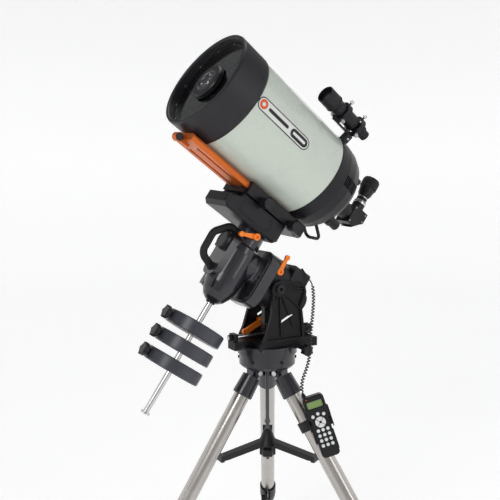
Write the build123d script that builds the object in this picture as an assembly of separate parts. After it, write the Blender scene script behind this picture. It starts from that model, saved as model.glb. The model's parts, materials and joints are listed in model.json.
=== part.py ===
from build123d import *
import os
from math import cos, pi, radians, sin, tan

# Schmidt-Cassegrain telescope on a German equatorial mount and a steel tripod.
# Row frame: +Z up, +Y north (the way the polar axis leans), +X east, millimetres.
# The tripod's axis stands at (0, AXIS_Y). The feet rest on z = 0.

# ---------------------------------------------------------------- driving dimensions
AXIS_Y = -51.9           # puts the whole object's box centre on the origin

LEG_R = 25.4             # 2 inch steel leg tube
LEG_WALL = 1.6
LOWER_R = 22.2
LEG_TILT = 33.1          # from vertical
LEG_TOP_R = 36.3         # leg axis radius at the hub's underside
LEG_ANGLES = {"north": 90.0, "west": 210.0, "east": 330.0}
COLLAR_END = 104.0       # distances along a leg from the hub's underside
CLAMP_START = 722.0
CLAMP_END = 802.0
FOOT_AT = 952.0
FOOT_R = 22.0
FOOT_FLAT = 3.0          # how far the foot's ball is cut to stand flat

HUB_R = 90.0
HUB_H = 44.0
PEG_AT = 80.0            # azimuth peg from the tripod axis
PEG_R = 6.0
BASE_R = 96.0
BASE_TOP = 90.0          # top of the azimuth base above the hub's underside
SPREADER_Z = -252.0
SPREADER_TIP_R = 172.0

LATITUDE = 35.0
DEC_REST = -7.0          # tube turned about the declination axis from the pole
CROSS_Y = 110.0          # where the polar and declination axes cross
CROSS_Z = 347.0
PIVOT_Z = 255.0          # altitude pivot above the hub's underside

PLATE_X = 70.0           # inner face of a side plate

SHAFT_R = 9.5
SHAFT_START = 118.0      # distances along the declination axis from the crossing
SHAFT_END = 526.0
WEIGHT_R = 92.0
WEIGHT_T = 40.0
WEIGHT_PITCH = 62.4
WEIGHT_FIRST = 248.0

TUBE_AXIS = 366.0        # optical axis to the crossing
TUBE_R = 156.0
RING_R = 158.5
TUBE_REAR = -57.0        # positions along the optical axis from the declination axis
CELL_REAR = 306.0
TUBE_FRONT = 408.0
BACK_FACE = -196.0

RUN_GAP = 0.05           # running fit, radial

# ---------------------------------------------------------------- frames
leg_cos = cos(radians(LEG_TILT))
leg_sin = sin(radians(LEG_TILT))
HUB_Z = FOOT_AT * leg_cos + FOOT_R - FOOT_FLAT
lat = radians(LATITUDE)
dec0 = radians(DEC_REST)
p_dir = Vector(0, cos(lat), sin(lat))
HUB = Location((0, AXIS_Y, HUB_Z))
CROSS = Vector(0, AXIS_Y + CROSS_Y, HUB_Z + CROSS_Z)
# Polar frame: X east, Y along the declination axis towards the weights, Z along the polar axis.
POLAR = Plane(origin=CROSS, x_dir=(1, 0, 0), z_dir=p_dir)
# Tube frame: the same, turned about the declination axis, Z along the optical axis.
t_dir = Vector(sin(dec0), 0, 0) + p_dir * cos(dec0)
s_dir = Vector(cos(dec0), 0, 0) - p_dir * sin(dec0)
DEC = Plane(origin=CROSS, x_dir=s_dir, z_dir=t_dir)


def leg_plane(angle):
    """Z down along the leg's axis, X along the tangent, origin at the hub's underside."""
    a = radians(angle)
    origin = (LEG_TOP_R * cos(a), AXIS_Y + LEG_TOP_R * sin(a), HUB_Z)
    down = (leg_sin * cos(a), leg_sin * sin(a), -leg_cos)
    return Plane(origin=origin, x_dir=(-sin(a), cos(a), 0), z_dir=down)


# ---------------------------------------------------------------- small builders
def rod(r, z0, z1, x=0.0, y=0.0):
    """Cylinder along Z from z0 to z1."""
    return Pos(x, y, z0) * Cylinder(r, z1 - z0, align=(Align.CENTER, Align.CENTER, Align.MIN))


def pipe(r_out, r_in, z0, z1, x=0.0, y=0.0):
    return rod(r_out, z0, z1, x, y) - rod(r_in, z0 - 1, z1 + 1, x, y)


def cone(r0, r1, z0, z1, x=0.0, y=0.0):
    return Pos(x, y, z0) * Cone(r0, r1, z1 - z0, align=(Align.CENTER, Align.CENTER, Align.MIN))


def rod_x(r, x0, x1, y=0.0, z=0.0):
    return Pos(x0, y, z) * Rot(0, 90, 0) * rod(r, 0, x1 - x0)


def rod_y(r, y0, y1, x=0.0, z=0.0):
    return Pos(x, y0, z) * Rot(-90, 0, 0) * rod(r, 0, y1 - y0)


def block(x0, x1, y0, y1, z0, z1):
    size = (x1 - x0, y1 - y0, z1 - z0)
    return Pos(x0, y0, z0) * Box(*size, align=(Align.MIN, Align.MIN, Align.MIN))


def slab(width, depth, height, radius, z0=0.0):
    """Box with rounded upright edges, centred on Z, standing on z0."""
    return Pos(0, 0, z0) * extrude(RectangleRounded(width, depth, radius), amount=height)


def lobed_knob(r, height, lobes):
    """Star knob standing on z = 0, with a slightly smaller top and bottom."""
    def outline(scale):
        face = Circle(r * 0.84 * scale)
        for i in range(lobes):
            face += Rot(0, 0, 360 / lobes * i) * Pos(r * 0.76, 0) * Circle(r * 0.24 * scale)
            face -= Rot(0, 0, 360 / lobes * (i + 0.5)) * Pos(r * 1.0, 0) * Circle(r * 0.22)
        return face
    rim = 1.5
    body = Pos(0, 0, rim) * extrude(outline(1.0), amount=height - 2 * rim)
    body += extrude(outline(0.93), amount=height)
    return body


def ring_profile(points):
    """Solid of revolution about Z from (radius, z) points."""
    pts = [(r, 0, z) for r, z in points]
    return revolve(make_face(Polyline(*pts, close=True)), Axis.Z)


parts = {}


def keep(name, *shapes, at=None):
    placed = [at.location * s if isinstance(at, Plane) else (at * s if at else s) for s in shapes]
    solids = []
    for s in placed:
        solids += list(s.solids())
    parts[name] = Compound(children=solids) if len(solids) > 1 else solids[0]


# ---------------------------------------------------------------- tripod
HINGE_S = 18.0           # leg hinge pin, along the leg
hinge_z = -HINGE_S * leg_cos
hinge_r = LEG_TOP_R + HINGE_S * leg_sin


def make_hub():
    hub = rod(HUB_R, 8, HUB_H) + cone(HUB_R - 7, HUB_R, 0, 8)
    hub -= pipe(70, 62, HUB_H - 4, HUB_H + 1)
    hub -= rod(8.0, -1, HUB_H + 1)
    hub += rod(PEG_R, HUB_H - 5, HUB_H + 26, y=-PEG_AT)
    for angle in LEG_ANGLES.values():
        lug = block(34, 58, -31, -20, -26, 1) + block(34, 58, 20, 31, -26, 1)
        lug -= rod_y(5.05, -40, 40, x=hinge_r, z=hinge_z)
        hub += Rot(0, 0, angle) * lug
    return hub


def make_collar():
    body = cone(30, 33, 37, COLLAR_END - 4) + cone(33, 31, COLLAR_END - 4, COLLAR_END)
    body += rod_x(12, -19, 19, z=HINGE_S)
    body += block(-19, 19, -12, 12, HINGE_S, 40)
    body -= rod_x(5.05, -20, 20, z=HINGE_S)
    return body - rod(LEG_R + RUN_GAP, 52, COLLAR_END + 1)


def make_hinge_bolt():
    bolt = rod_x(5.0, -33, 33, z=HINGE_S)
    head = Rot(0, 90, 0) * extrude(RegularPolygon(8.5, 6), amount=6)
    return bolt + Pos(33, 0, HINGE_S) * head + Pos(-39, 0, HINGE_S) * head


def make_clamp():
    body = rod(LEG_R + 5.5, CLAMP_START, CLAMP_START + 50)
    body += cone(LEG_R + 5.5, LEG_R + 2, CLAMP_START + 50, CLAMP_END)
    body += block(-8, 8, -LEG_R - 30, -LEG_R + 2, CLAMP_START + 10, CLAMP_START + 42)
    body -= rod(LEG_R + RUN_GAP, CLAMP_START - 1, CLAMP_START + 62)
    body -= rod(LOWER_R + RUN_GAP, CLAMP_START, CLAMP_END + 1)
    body -= block(-1.5, 1.5, -LEG_R - 31, -LOWER_R + 6, CLAMP_START - 1, CLAMP_END + 1)
    return body - rod_x(4.05, -20, 20, y=-LEG_R - 21, z=CLAMP_START + 26)


def make_clamp_knob():
    z = CLAMP_START + 26
    stem = rod_x(4.0, -10, 14, y=-LEG_R - 21, z=z)
    return stem + Pos(10, -LEG_R - 21, z) * Rot(0, 90, 0) * lobed_knob(15, 16, 5)


def make_upper_leg():
    return pipe(LEG_R, LEG_R - LEG_WALL, 53, CLAMP_START + 61)


def make_lower_leg(angle):
    """Inner tube with its guide ring, and a rubber boot cut flat on the floor."""
    place = leg_plane(angle).location
    tube = pipe(LOWER_R, LOWER_R - 2.0, CLAMP_START - 240, FOOT_AT - 24)
    tube += pipe(LEG_R - LEG_WALL - 0.1, LOWER_R - 1, CLAMP_START - 240, CLAMP_START - 205)
    boot = rod(LOWER_R + 3.0, FOOT_AT - 62, FOOT_AT - 12) + Pos(0, 0, FOOT_AT) * Sphere(FOOT_R)
    boot += cone(LOWER_R + 3.0, FOOT_R - 2.0, FOOT_AT - 12, FOOT_AT + 2)
    boot -= rod(LOWER_R, FOOT_AT - 63, FOOT_AT - 24)
    boot = place * boot
    return place * tube, boot & block(-900, 900, -900, 900, 0, 200)


def make_spreader():
    """Three arms reaching the insides of the legs, a dome on top, a sleeve on the rod."""
    z = SPREADER_Z
    body = cone(34, 22, z - 10, z + 12) + cone(22, 13, z + 12, z + 36)
    arm_profile = Polyline((20, z + 6), (SPREADER_TIP_R, z - 18), (SPREADER_TIP_R, z - 32), (150, z - 32),
                           (20, z - 14), close=True)
    web_profile = Polyline((55, z - 1), (140, z - 14), (140, z - 22), (55, z - 11), close=True)
    for angle in LEG_ANGLES.values():
        arm = extrude(Plane.XZ * make_face(arm_profile), amount=13, both=True)
        arm -= extrude(Plane.XZ * make_face(web_profile), amount=20, both=True) & \
            block(0, 200, -8, 8, z - 60, z + 60)
        pad = block(SPREADER_TIP_R - 8, SPREADER_TIP_R + 4, -17, 17, z - 34, z - 14)
        body += Rot(0, 0, angle) * (arm + pad)
    return body - rod(6.5, z - 60, z + 60)


def make_tension_knob():
    z = SPREADER_Z - 14
    body = rod(12, z - 12, z) + Pos(0, 0, z - 34) * lobed_knob(26, 22, 6)
    return body - rod(6.05, z - 40, z + 1)


def make_centre_rod():
    top = HUB_H - 4
    hub_nut = Pos(0, 0, -14) * extrude(RegularPolygon(15, 6), amount=14)
    return rod(6.0, SPREADER_Z - 62, top - 12) + hub_nut + rod(7.9, 0, top - 12)


legs = {side: leg_plane(angle).location for side, angle in LEG_ANGLES.items()}
keep("tripod_hub", make_hub(), at=HUB)
keep("leg_collars", *[at * make_collar() for at in legs.values()])
keep("leg_hinge_bolts", *[at * make_hinge_bolt() for at in legs.values()])
keep("upper_legs", *[at * make_upper_leg() for at in legs.values()])
clamps = [at * make_clamp() for at in legs.values()] + [at * make_clamp_knob() for at in legs.values()]
keep("leg_clamps", *clamps)
for side, angle in LEG_ANGLES.items():
    keep("lower_leg_" + side, *make_lower_leg(angle))
keep("centre_rod", make_centre_rod(), at=HUB)
keep("spreader", make_spreader(), at=HUB)
keep("tension_knob", make_tension_knob(), at=HUB)

# ---------------------------------------------------------------- hand controller on the south-west leg
CASE_W = 60.0
CASE_L = 190.0
CASE_T = 27.0
PAD_Y = 14.0             # middle of the arrow keys
SOCKET_X = -24.0
SOCKET_R = 7.0
case_centre = Vector(-203, AXIS_Y - 72, HUB_Z - 150)
case_up = Vector(0.242, 0.225, 0.944).normalized()
case_out = (Vector(-0.86, 0.50, 0.10) - case_up * case_up.dot(Vector(-0.86, 0.50, 0.10))).normalized()
# Y up the case, Z out of its face, X to the right seen from in front.
CASE = Plane(origin=case_centre, x_dir=case_up.cross(case_out), z_dir=case_out)


def make_case():
    """Case with a wider rounded head, a narrow waist and a well for the screen."""
    half = CASE_L / 2
    head = Pos(0, half - 38) * RectangleRounded(CASE_W + 6, 76, 14)
    handle = Pos(0, -32) * RectangleRounded(CASE_W - 4, CASE_L - 64, 12)
    outline = head + handle
    body = Pos(0, 0, -CASE_T / 2) * extrude(outline, amount=CASE_T - 3)
    inner = Pos(0, half - 38) * RectangleRounded(CASE_W, 70, 11) + Pos(0, -32) * RectangleRounded(
        CASE_W - 10, CASE_L - 70, 9)
    body += Pos(0, 0, CASE_T / 2 - 3) * extrude(inner, amount=3)
    body -= Pos(0, half - 26, CASE_T / 2 - 2) * extrude(RectangleRounded(48, 22, 3), amount=4)
    body += rod_y(SOCKET_R, half - 1, half + 8, x=SOCKET_X)
    for x, y in menu_spots() + number_spots():
        body -= rod(5.3, CASE_T / 2 - 3.4, CASE_T / 2 + 1, x=x, y=y)
    return body - rod(16.3, CASE_T / 2 - 3.4, CASE_T / 2 + 1, y=PAD_Y)


def menu_spots():
    return [(-17.0, PAD_Y + 21), (0.0, PAD_Y + 26), (17.0, PAD_Y + 21)]


def number_spots():
    return [(15.0 * col, -10.0 - 15.5 * row) for row in range(4) for col in (-1, 0, 1)]


def make_round_keys():
    low = CASE_T / 2 - 1.9
    return [rod(5.0, low, low + 4.2, x=x, y=y) for x, y in menu_spots() + number_spots()]


def make_arrow_keys():
    """Four quadrants of a ring, one for each direction."""
    low = CASE_T / 2 - 1.9
    ring = pipe(16.0, 4.0, low, low + 4.2, y=PAD_Y)
    for turn in (45, 135):
        ring -= Pos(0, PAD_Y, 0) * Rot(0, 0, turn) * block(-20, 20, -0.9, 0.9, low - 1, low + 6)
    return ring.solids()


def make_cradle():
    """Ring clamped round the leg, a tray behind the case, side lips and a foot under it."""
    s_at = 205.0
    leg = leg_plane(LEG_ANGLES["west"])
    ring = leg.location * (pipe(LEG_R + 6, LEG_R + 0.3, s_at - 16, s_at + 16))
    back = -CASE_T / 2 - 0.4
    w = CASE_W / 2
    tray = block(-w - 7, w + 7, -10, 34, back - 4, back)
    tray += block(-w - 7, -w - 3.5, -10, 34, back - 4, 9) + block(w + 3.5, w + 7, -10, 34, back - 4, 9)
    tray += block(-w - 7, -w + 1.5, 17.8, 19, back - 4, 0) + block(w - 1.5, w + 7, 17.8, 19, back - 4, 0)
    tray = CASE.location * tray
    middle = leg.from_local_coords(Vector(0, 0, s_at))
    behind = CASE.from_local_coords(Vector(0, 10, back - 2))
    reach = behind - middle
    neck_plane = Plane(origin=middle, x_dir=case_up, z_dir=reach)
    neck = neck_plane.location * slab(26, 18, reach.length, 4)
    neck -= leg.location * rod(LEG_R + 3, s_at - 60, s_at + 60)
    return (ring + neck + tray) - CASE.location * block(-w + 3, w - 3, -30, 60, back, 20)


keep("controller_cradle", make_cradle())
keep("hand_controller", make_case(), at=CASE)
keep("round_keys", *make_round_keys(), at=CASE)
keep("arrow_keys", *make_arrow_keys(), at=CASE)

# ---------------------------------------------------------------- azimuth base and side plates
BASE_BOTTOM = HUB_H + 0.4
PLATE_OUT = PLATE_X + 12.0
PLATE_WEB = 6.0
SCREW_Z = 102.0          # altitude adjusting screw above the hub's underside
AZ_SCREW_Z = 60.0
PIVOT_R = 9.0
PLATE_OUTLINE = [(62, 90), (48, 116), (30, 172), (25, 236), (28, 255), (18, 276), (-6, 283), (-92, 264),
                 (-97, 238), (-80, 196), (-86, 150), (-90, 90)]


def yz_face(points):
    return make_face(Polyline(*[(0, y, z) for y, z in points], close=True))


def plate_extrude(points, x0, x1):
    return Pos(x0, 0, 0) * extrude(yz_face(points), amount=x1 - x0, dir=(1, 0, 0))


def make_base():
    base = rod(BASE_R, BASE_BOTTOM, 72) + block(-78, 78, -140, 70, 62, BASE_TOP)
    base += block(-24, 24, 60, 128, 64, BASE_TOP) + block(-15, 15, 112, 128, 88, 114)
    base += block(-16, 16, -142, -122, 88, 114)
    base -= block(-70, 70, -132, -100, 61, 78)
    base -= rod(PEG_R + 13, 40, 78, y=-PEG_AT) + block(-22, 22, -PEG_AT - 9, -PEG_AT + 9, 40, 78)
    base -= rod_x(5.05, -120, 120, y=-PEG_AT, z=AZ_SCREW_Z)
    base += pipe(26, 8.05, BASE_BOTTOM, BASE_TOP)
    base -= rod_y(6.05, 100, 140, z=SCREW_Z) + rod_y(6.05, -150, -118, z=SCREW_Z)
    return base


def make_plate():
    """Web with a raised rim, ribs fanning out from the pivot and a long see-through slot."""
    plate = plate_extrude(PLATE_OUTLINE, PLATE_X, PLATE_OUT)
    inner = offset(yz_face(PLATE_OUTLINE), amount=-8)
    pocket = Pos(PLATE_X + PLATE_WEB, 0, 0) * extrude(inner, amount=20, dir=(1, 0, 0))
    ribs = rod_x(24, PLATE_X, PLATE_OUT, y=0, z=PIVOT_Z)
    for turn, length in ((183, 90), (190, 92), (222, 110), (248, 130), (268, 150), (292, 155)):
        rib = block(PLATE_X, PLATE_OUT - 1, 0, length, -2, 2)
        ribs += Pos(0, 0, PIVOT_Z) * Rot(turn, 0, 0) * rib
    slot = extrude(Rot(0, 0, 90) * SlotOverall(52, 9), amount=100)
    slot = Pos(0, -28, 161) * Rot(-27, 0, 0) * Rot(0, 90, 0) * slot
    kept = plate - (pocket - ribs)
    kept -= slot
    return kept - rod_x(PIVOT_R, PLATE_X - 1, PLATE_OUT + 1, z=PIVOT_Z)


def make_pivot_bolt():
    """Shouldered bolt through one side plate into the housing's boss."""
    head = rod(14, 0, 7) - extrude(RegularPolygon(6, 6), amount=8)
    head = Pos(PLATE_OUT, 0, PIVOT_Z) * Rot(0, 90, 0) * head
    return rod_x(PIVOT_R, PLATE_X - 22, PLATE_OUT, z=PIVOT_Z) + head


def make_altitude_screw():
    """Long screw along the meridian in two bearing blocks, a knob at each end."""
    screw = rod_y(6.0, -150, 139, z=SCREW_Z)
    front = Pos(0, 128.5, SCREW_Z) * Rot(-90, 0, 0) * lobed_knob(10, 10, 6)
    rear = Pos(0, -142.5, SCREW_Z) * Rot(90, 0, 0) * lobed_knob(19, 18, 6)
    return screw + front + rear


def make_altitude_nut():
    """Nut block that rides on the screw, with two cheeks for the housing's arm."""
    nut = block(-19, 19, -14, 14, SCREW_Z - 11, SCREW_Z + 12)
    nut += block(-19, -10.5, -12, 12, SCREW_Z + 10, SCREW_Z + 36)
    nut += block(10.5, 19, -12, 12, SCREW_Z + 10, SCREW_Z + 36)
    return nut - rod_y(6.05, -20, 20, z=SCREW_Z)


def make_azimuth_screw():
    """One of the two screws that push on the peg, with its knob outside the base."""
    screw = rod_x(5.0, -112, -PEG_R - 0.3, y=-PEG_AT, z=AZ_SCREW_Z)
    knob = Pos(-100, -PEG_AT, AZ_SCREW_Z) * Rot(0, -90, 0) * lobed_knob(19, 20, 6)
    return screw + knob


LOCK_X = 34.0
LOCK_Y = -6.0
LOCK_Z = 136.0


def make_lock_lever():
    """Long flat lever on the inside of the east plate, pointing down to the north."""
    hub = rod_x(13, LOCK_X, LOCK_X + 15, y=LOCK_Y, z=LOCK_Z)
    arm = block(LOCK_X + 1, LOCK_X + 13, 0, 70, -8, 8)
    arm += rod_x(10, LOCK_X + 1, LOCK_X + 13, y=70)
    stud = rod_x(6.0, LOCK_X, PLATE_X, y=LOCK_Y, z=LOCK_Z)
    return hub + Pos(0, LOCK_Y, LOCK_Z) * Rot(-26, 0, 0) * arm + stud


mirror_x = Plane.YZ
keep("azimuth_base", make_base(), at=HUB)
keep("side_plates", make_plate(), mirror(make_plate(), about=mirror_x), at=HUB)
keep("altitude_pivots", make_pivot_bolt(), mirror(make_pivot_bolt(), about=mirror_x), at=HUB)
keep("altitude_screw", make_altitude_screw(), at=HUB)
keep("altitude_nut", make_altitude_nut(), at=HUB)
keep("azimuth_screws", make_azimuth_screw(), mirror(make_azimuth_screw(), about=mirror_x), at=HUB)
keep("altitude_lock_lever", make_lock_lever(), at=HUB)

# ---------------------------------------------------------------- right ascension housing and drive
pivot_a = -(CROSS_Y * cos(lat) + (CROSS_Z - PIVOT_Z) * sin(lat))
pivot_d = (CROSS_Z - PIVOT_Z) * cos(lat) - CROSS_Y * sin(lat)
RA_FRONT = -64.0         # front face of the right ascension gearbox, along the polar axis
RA_GEARBOX = 40.0
HOUSING_REAR = -228.0
HOUSING_X = 66.0
RA_SHAFT_R = 22.0
BEARING_R = 38.0
WHEEL_R = 58.0
WORM_R = 8.0
WORM_AT = WHEEL_R + WORM_R + 0.3
WHEEL_TEETH = 180
lat_turn = 90.0 - LATITUDE
# The hand controller's lead leaves the housing's west side here and drops to where its coils start.
CORD_R = 2.4
COIL_R = 6.0
RELIEF_END = 9.0
CORD_GAP = 0.6
lead_root = Vector(-66, AXIS_Y - 97, HUB_Z + 297)
coil_top = Vector(-92, AXIS_Y - 112, HUB_Z + 266)
lead_out = Vector(-0.64, -0.30, -0.707).normalized()
RELIEF = Plane(origin=lead_root, z_dir=lead_out)
LEVER_A = -116.0
LEVER_D = -34.0


def gear_face(radius, teeth, depth):
    points = []
    for i in range(teeth):
        corners = ((0.0, radius - depth), (0.25, radius), (0.5, radius), (0.75, radius - depth))
        for part_of_pitch, r in corners:
            a = radians(360.0 / teeth * (i + part_of_pitch))
            points.append((r * cos(a), r * sin(a)))
    return make_face(Polyline(*points, close=True))


def make_worm(length):
    """Worm along Z, centred, with ring grooves and a shaft at both ends."""
    pitch = 2 * WHEEL_R * pi / WHEEL_TEETH
    turns = int(length / pitch)
    profile = [(0, -length / 2)]
    for i in range(turns):
        z = -length / 2 + i * pitch
        profile += [(WORM_R - 1.2, z), (WORM_R, z + pitch * 0.35), (WORM_R, z + pitch * 0.6)]
    profile += [(WORM_R - 1.2, -length / 2 + turns * pitch), (0, -length / 2 + turns * pitch)]
    return ring_profile(profile) + rod(4, -length / 2 - 12, length / 2 + 12)


def make_gearbox():
    """Wide shallow box on the front of the housing: wheel room, worm room, motor room."""
    rear = RA_FRONT - RA_GEARBOX
    outline = Pos(0, 18) * RectangleRounded(164, 184, 44)
    box = Pos(0, 0, rear) * extrude(outline, amount=RA_GEARBOX - 5)
    box += Pos(0, 0, RA_FRONT - 5) * extrude(Pos(0, 18) * RectangleRounded(154, 174, 39), amount=5)
    box -= rod(WHEEL_R + 1.5, rear + 8, RA_FRONT - 8)
    box -= block(WORM_AT - 12, WORM_AT + 11, -34, 70, rear + 8, RA_FRONT - 8)
    box -= block(20, WORM_AT + 11, 60, 98, rear + 6, RA_FRONT - 8)
    return box - rod(RA_SHAFT_R + 6, rear - 1, RA_FRONT + 1)


def make_housing():
    """Tunnel that carries the polar shaft, bosses for the altitude pivot and an arm to the adjuster."""
    front = RA_FRONT - RA_GEARBOX
    body = Pos(0, 0, HOUSING_REAR + 12) * extrude(RectangleRounded(2 * HOUSING_X, 150, 46),
                                                  amount=front - HOUSING_REAR - 12)
    body += Pos(0, 0, HOUSING_REAR) * extrude(RectangleRounded(2 * HOUSING_X - 16, 134, 40), amount=13)
    body += rod(56, -258, HOUSING_REAR + 1) + rod(38, -280, -257)
    body += rod_x(30, -HOUSING_X - 3, HOUSING_X + 3, y=pivot_d, z=pivot_a)
    body += Pos(0, -52, HOUSING_REAR) * slab(136, 64, 62, 12)
    body += Pos(0, -62, -150) * slab(70, 34, 45, 12)
    arm = Pos(0, pivot_d, pivot_a) * Rot(lat_turn, 0, 0) * block(-10, 10, -14, 14, -138, -50)
    body += arm
    body -= rod(BEARING_R, -245, front + 1)
    body -= rod(BEARING_R - 8, -276, -240)
    body -= rod_x(PIVOT_R + RUN_GAP, -HOUSING_X - 4, -PLATE_X + 23, y=pivot_d, z=pivot_a)
    body -= rod_x(PIVOT_R + RUN_GAP, PLATE_X - 23, HOUSING_X + 4, y=pivot_d, z=pivot_a)
    body -= rod_x(4.05, -HOUSING_X - 1, -BEARING_R - 8, y=LEVER_D, z=LEVER_A)
    return body + POLAR.location.inverse() * (RELIEF.location * cone(6.5, 4.2, -14, RELIEF_END))


def lever_blank(length):
    """Clutch lever lying along +Y from its pivot at the origin, its face towards +Z."""
    arm = Pos(0, length / 2, 0) * extrude(Trapezoid(17, length, 86), amount=7)
    arm += rod(11, 0, 12) + rod(8, 0, 9, y=length)
    return arm - rod(5, 8, 13)


def make_ra_lever():
    blank = lever_blank(50)
    at = Pos(-HOUSING_X - 0.5, LEVER_D, LEVER_A) * Rot(180, 0, 0) * Rot(0, -90, 0)
    return at * blank + rod_x(4.0, -HOUSING_X - 1, -BEARING_R - 9, y=LEVER_D, z=LEVER_A)


def make_ra_shaft():
    """Hollow polar shaft with the flange that carries the declination housing."""
    shaft = rod(RA_SHAFT_R, -250, RA_FRONT + 2) + rod(50, RA_FRONT + 0.6, RA_FRONT + 12)
    return shaft - rod(13, -251, RA_FRONT + 13)


def make_bearing(z):
    return pipe(BEARING_R, RA_SHAFT_R + RUN_GAP, z, z + 16)


keep("ra_gearbox", make_gearbox(), at=POLAR)
keep("ra_housing", make_housing(), at=POLAR)
keep("ra_bearings", make_bearing(-236), make_bearing(-126), at=POLAR)
keep("ra_clutch_lever", make_ra_lever(), at=POLAR)
keep("ra_shaft", make_ra_shaft(), at=POLAR)
wheel_z = RA_FRONT - RA_GEARBOX / 2 - 6
ra_wheel = Pos(0, 0, wheel_z) * extrude(gear_face(WHEEL_R, WHEEL_TEETH, 1.4), amount=12)
keep("ra_worm_wheel", ra_wheel - rod(RA_SHAFT_R, wheel_z - 1, wheel_z + 13), at=POLAR)
keep("ra_worm", Pos(WORM_AT, 16, wheel_z + 6) * Rot(90, 0, 0) * make_worm(52), at=POLAR)

# ---------------------------------------------------------------- declination housing, handle and weights
NECK_R = 46.0
HEAD_BOTTOM = -96.0      # along the declination axis; the head box starts here
DEC_SHAFT_R = 20.0
DEC_LEVER_D = -83.0
DEC_LEVER_A = 4.0
to_dec_axis = Rot(-90, 0, 0)
WEIGHTS = [WEIGHT_FIRST + i * WEIGHT_PITCH for i in range(3)]


def make_dec_housing():
    """Neck under the head, a ribbed bulb below it and the hub that bolts to the polar shaft."""
    top = HEAD_BOTTOM + 0.5
    neck = ring_profile([(0, top), (NECK_R, top), (NECK_R, -48), (55, -40), (58, -20),
                         (58, 62), (55, 92), (47, 120), (35, 140), (22, 150), (16, 153), (0, 153)])
    body = to_dec_axis * neck
    body += rod(54, RA_FRONT + 12, 0)
    body -= rod(50, RA_FRONT, RA_FRONT + 12)
    body += Pos(0, 12, 0) * extrude(RectangleRounded(84, 150, 30), amount=62)
    body += rod(33, 0, 70, y=-30)
    for turn in (-62, -38, 38, 62):
        rib = block(-2.5, 2.5, 40, 61.5, -30, 118) - block(-3, 3, 30, 52, 60, 130)
        body += to_dec_axis * Rot(0, 0, turn + 180) * rib
    body -= rod_y(DEC_SHAFT_R + 6, HEAD_BOTTOM - 1, 66)
    body -= rod_y(SHAFT_R, SHAFT_START, 160)
    return body - rod_x(4.05, -NECK_R - 6, -DEC_SHAFT_R - 8, y=DEC_LEVER_D, z=DEC_LEVER_A)


def make_dec_lever():
    blank = lever_blank(52)
    at = Pos(-NECK_R - 0.6, DEC_LEVER_D, DEC_LEVER_A) * Rot(68, 0, 0) * Rot(0, -90, 0)
    return at * blank + rod_x(4.0, -NECK_R - 2, -DEC_SHAFT_R - 9, y=DEC_LEVER_D, z=DEC_LEVER_A)


def make_dec_handle():
    """Arched grip on the north side of the declination housing."""
    path = FilletPolyline((0, -72, 43), (0, -74, 74), (0, -30, 112), (0, 44, 110), (0, 62, 58),
                          radius=[22, 30, 30])
    start = Plane(origin=(0, -72, 43), z_dir=(0, -2, 31))
    grip = sweep(start * SlotOverall(24, 15), path=path)
    return grip + rod(13, 61.5, 66, y=62) + rod(12, 45, 52, y=-72)


def make_bearing_pair():
    rings = [rod_y(DEC_SHAFT_R + 6, y, y + 12) for y in (-94, 48)]
    return [ring - rod_y(DEC_SHAFT_R + RUN_GAP, -100, 70) for ring in rings]


def make_counterweight_shaft():
    shaft = rod_y(SHAFT_R, SHAFT_START, SHAFT_END)
    return shaft - rod_y(4.0, SHAFT_END - 14, SHAFT_END + 1)


def make_safety_screw():
    return rod_y(4.0, SHAFT_END - 14, SHAFT_END) + rod_y(15, SHAFT_END, SHAFT_END + 7)


def make_weight(d):
    half = WEIGHT_T / 2
    outer = ring_profile([(SHAFT_R + RUN_GAP, -half), (WEIGHT_R - 3, -half), (WEIGHT_R, 3 - half),
                          (WEIGHT_R, half - 3), (WEIGHT_R - 3, half), (SHAFT_R + RUN_GAP, half)])
    body = Pos(0, d, 0) * to_dec_axis * outer
    return body - rod(5.05, SHAFT_R - 1, WEIGHT_R + 2, y=d) - rod(9, WEIGHT_R - 12, WEIGHT_R + 2, y=d)


def make_weight_knob(d):
    stem = rod(5.0, SHAFT_R + 0.3, 100, y=d) + rod(8.5, WEIGHT_R - 11, 100, y=d)
    return stem + Pos(0, d, 99) * lobed_knob(21, 16, 5)


keep("dec_housing", make_dec_housing(), *make_bearing_pair(), at=POLAR)
keep("dec_clutch_lever", make_dec_lever(), at=POLAR)
keep("dec_handle", make_dec_handle() - make_dec_housing(), at=POLAR)
keep("counterweight_shaft", make_counterweight_shaft(), make_safety_screw(), at=POLAR)
for number, d in enumerate(WEIGHTS, 1):
    keep("counterweight_" + str(number), make_weight(d), at=POLAR)
    keep("weight_knob_" + str(number), make_weight_knob(d), at=POLAR)

# ---------------------------------------------------------------- declination head and saddle
SADDLE_LOW = -166.0      # along the declination axis
SADDLE_TOP = -183.6
SADDLE_HALF = 132.0
HEAD_X = 64.0
PLATE_HALF_W = 50.8      # dovetail plate
CLAMP_SCREWS = (64.0, -66.0)
CLAMP_SCREW_D = -174.0


def extrude_along_z(points, z0, z1):
    face = make_face(Polyline(*[(x, y) for x, y in points], close=True))
    return Pos(0, 0, z0) * extrude(face, amount=z1 - z0)


def make_head():
    """Box under the saddle that holds the declination drive and the ports."""
    side = [(-166, -60), (-166, 126), (-150, 140), (-138, 172), (-108, 172), (HEAD_BOTTOM, 160),
            (HEAD_BOTTOM, -46), (-110, -60)]
    profile = make_face(Polyline(*[(0, y, z) for y, z in side], close=True))
    box = Pos(-HEAD_X, 0, 0) * extrude(profile, amount=2 * HEAD_X, dir=(1, 0, 0))
    for x in (-HEAD_X, HEAD_X):
        edges = [e for e in box.edges() if abs(e.center().X - x) < 0.1]
        box = chamfer(edges, 6)
    box -= block(-HEAD_X + 5, HEAD_X - 5, -160, -102, 66, 152)
    return box - rod_y(DEC_SHAFT_R, -170, HEAD_BOTTOM + 2)


def make_dec_shaft():
    return rod_y(DEC_SHAFT_R, SADDLE_LOW, 62) - rod_y(12, SADDLE_LOW - 1, 63)


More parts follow.
